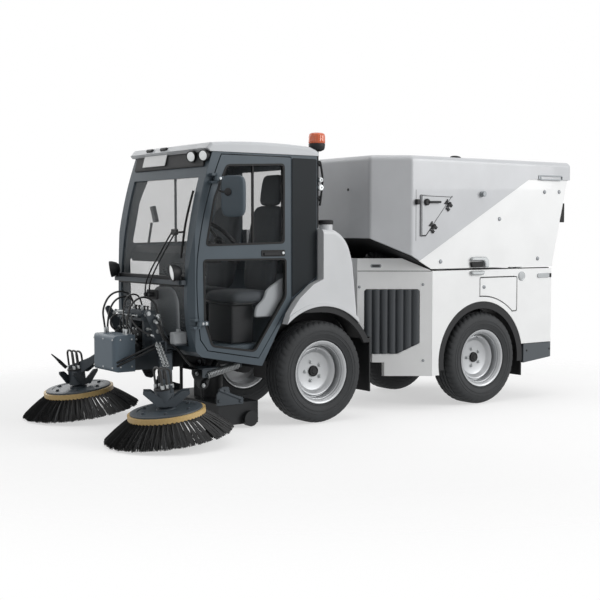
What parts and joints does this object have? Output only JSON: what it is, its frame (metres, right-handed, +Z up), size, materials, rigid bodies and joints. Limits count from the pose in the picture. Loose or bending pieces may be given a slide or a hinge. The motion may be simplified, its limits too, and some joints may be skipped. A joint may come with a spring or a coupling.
{
  "type": "compact street sweeper",
  "caption": "Compact articulated street sweeper with a glazed cab, twin front disc brushes, a suction mouth and a tipping rear hopper.",
  "frame": {"origin": "on the ground, below the middle of the whole machine's bounding box", "axes": "+X forward, +Y to the machine's left, +Z up"},
  "size_m": [4.3016, 2.1534, 2.0679],
  "materials": {
    "white_paint": "satin white paint",
    "cab_grey": "satin dark blue-grey paint",
    "roof_grey": "pale grey moulding",
    "hood_grey": "light grey moulding",
    "black_plastic": "black moulding",
    "frame_black": "black frame paint",
    "gear_grey": "dark grey paint",
    "cover_grey": "grey moulding",
    "tyre": "tyre rubber",
    "wheel_silver": "silver paint",
    "steel": "steel",
    "ring_ochre": "ochre moulding",
    "bristle": "black bristles",
    "glass": "tinted glass",
    "seat_cloth": "dark cloth",
    "lamp_clear": "clear lamp",
    "lamp_red": "red lamp",
    "amber": "amber lens"
  },
  "bodies": {
    "rear_chassis": {"rear_frame": "frame_black", "rear_axle": "frame_black", "power_pack": "gear_grey", "side_panels": "white_paint", "nose_panel": "white_paint", "nose_grilles": "black_plastic", "nose_cowl": "white_paint", "rear_housings": "black_plastic", "rear_wall": "white_paint", "rear_lamps": "lamp_red", "rear_bumper": "cover_grey"},
    "flap": {"service_flap": "white_paint"},
    "hopper": {"hopper_tub": "white_paint", "hopper_hood": "hood_grey"},
    "gate": {"hopper_gate": "white_paint"},
    "hatch": {"hopper_hatch": "hood_grey"},
    "ram_barrel": {"ram_barrels": "frame_black"},
    "ram_rod": {"ram_rods": "steel"},
    "front_chassis": {"front_frame": "frame_black", "front_axle": "frame_black", "cab_shell": "cab_grey", "cab_glass": "glass", "cab_roof": "roof_grey", "seats": "seat_cloth", "dashboard": "black_plastic", "steering_wheel": "black_plastic", "lamp_bar": "cab_grey", "lamps": "lamp_clear", "beacon_mast": "black_plastic", "beacon_lens": "amber", "fenders": "white_paint", "front_housings": "black_plastic", "brush_carrier": "gear_grey", "carrier_cover": "cover_grey"},
    "mouth": {"suction_mouth": "black_plastic"},
    "cab_door_left": {"door_left": "cab_grey", "door_glass_left": "glass", "mirror_left": "black_plastic"},
    "post_left": {"arm_post_left": "gear_grey"},
    "arm_left": {"brush_arm_left": "gear_grey"},
    "brush_left": {"brush_disc_left": "ring_ochre", "bristles_left": "bristle"},
    "wheel_front_left": {"tyre_front_left": "tyre", "rim_front_left": "wheel_silver"},
    "wheel_rear_left": {"tyre_rear_left": "tyre", "rim_rear_left": "wheel_silver"},
    "cab_door_right": {"door_right": "cab_grey", "door_glass_right": "glass", "mirror_right": "black_plastic"},
    "post_right": {"arm_post_right": "gear_grey"},
    "arm_right": {"brush_arm_right": "gear_grey"},
    "brush_right": {"brush_disc_right": "ring_ochre", "bristles_right": "bristle"},
    "wheel_front_right": {"tyre_front_right": "tyre", "rim_front_right": "wheel_silver"},
    "wheel_rear_right": {"tyre_rear_right": "tyre", "rim_rear_right": "wheel_silver"}
  },
  "joints": [
    {"name": "articulation", "type": "hinge", "parent": "rear_chassis", "child": "front_chassis", "pos_m": [-0.33576, 0, 0.46], "axis": [0, 0, 1], "range_deg": [-40, 40]},
    {"name": "wheel_rear_left_spin", "type": "hinge", "parent": "rear_chassis", "child": "wheel_rear_left", "pos_m": [-1.13576, 0.5025, 0.367], "axis": [0, 1, 0], "continuous": true},
    {"name": "wheel_front_left_spin", "type": "hinge", "parent": "front_chassis", "child": "wheel_front_left", "pos_m": [0.46424, 0.5025, 0.367], "axis": [0, 1, 0], "continuous": true},
    {"name": "cab_door_left_swing", "type": "hinge", "parent": "front_chassis", "child": "cab_door_left", "pos_m": [1.39424, 0.58, 1.245], "axis": [0.1429, 0, -0.9897], "range_deg": [0, 70]},
    {"name": "post_left_swing", "type": "hinge", "parent": "front_chassis", "child": "post_left", "pos_m": [1.54424, 0.27, 0.49], "axis": [0, 0, 1], "range_deg": [-12, 20]},
    {"name": "arm_left_lift", "type": "hinge", "parent": "post_left", "child": "arm_left", "pos_m": [1.58035, 0.33573, 0.52], "axis": [0.8764, -0.4815, 0], "range_deg": [0, 18]},
    {"name": "brush_left_spin", "type": "hinge", "parent": "arm_left", "child": "brush_left", "pos_m": [1.76124, 0.665, 0.2], "axis": [0.1219, 0, 0.9925], "continuous": true},
    {"name": "wheel_rear_right_spin", "type": "hinge", "parent": "rear_chassis", "child": "wheel_rear_right", "pos_m": [-1.13576, -0.5025, 0.367], "axis": [0, 1, 0], "continuous": true},
    {"name": "wheel_front_right_spin", "type": "hinge", "parent": "front_chassis", "child": "wheel_front_right", "pos_m": [0.46424, -0.5025, 0.367], "axis": [0, 1, 0], "continuous": true},
    {"name": "cab_door_right_swing", "type": "hinge", "parent": "front_chassis", "child": "cab_door_right", "pos_m": [1.39424, -0.58, 1.245], "axis": [-0.1429, 0, 0.9897], "range_deg": [0, 70]},
    {"name": "post_right_swing", "type": "hinge", "parent": "front_chassis", "child": "post_right", "pos_m": [1.54424, -0.27, 0.49], "axis": [0, 0, -1], "range_deg": [-12, 20]},
    {"name": "arm_right_lift", "type": "hinge", "parent": "post_right", "child": "arm_right", "pos_m": [1.58035, -0.33573, 0.52], "axis": [-0.8764, -0.4815, 0], "range_deg": [0, 18]},
    {"name": "brush_right_spin", "type": "hinge", "parent": "arm_right", "child": "brush_right", "pos_m": [1.76124, -0.665, 0.2], "axis": [0.1219, 0, 0.9925], "continuous": true},
    {"name": "hopper_tip", "type": "hinge", "parent": "rear_chassis", "child": "hopper", "pos_m": [-1.89576, 0, 1.052], "axis": [0, -1, 0], "range_deg": [0, 45]},
    {"name": "gate_swing", "type": "hinge", "parent": "hopper", "child": "gate", "pos_m": [-2.10376, 0, 1.786], "axis": [0, 1, 0], "range_deg": [0, 80]},
    {"name": "hatch_swing", "type": "hinge", "parent": "hopper", "child": "hatch", "pos_m": [-0.65626, 0.634, 1.493], "axis": [-0.6788, 0, 0.7343], "range_deg": [0, 110]},
    {"name": "flap_swing", "type": "hinge", "parent": "rear_chassis", "child": "flap", "pos_m": [-1.50776, 0.622, 0.85], "axis": [0, 0, 1], "range_deg": [0, 100]},
    {"name": "ram_barrel_turn", "type": "hinge", "parent": "rear_chassis", "child": "ram_barrel", "pos_m": [-1.58576, 0, 0.56], "axis": [0, -1, 0], "range_deg": [0, 18]},
    {"name": "ram_rod_slide", "type": "slide", "parent": "ram_barrel", "child": "ram_rod", "axis": [0.3389, 0, 0.9408], "range_m": [0, 0.331]},
    {"name": "mouth_lift", "type": "slide", "parent": "front_chassis", "child": "mouth", "axis": [0, 0, 1], "range_m": [0, 0.08]}
  ],
  "couplings": [
    {"joint": "ram_barrel_turn", "follows": "hopper_tip", "ratio": 0.3668},
    {"joint": "ram_rod_slide", "follows": "hopper_tip", "m_per_rad": 0.4154}
  ]
}
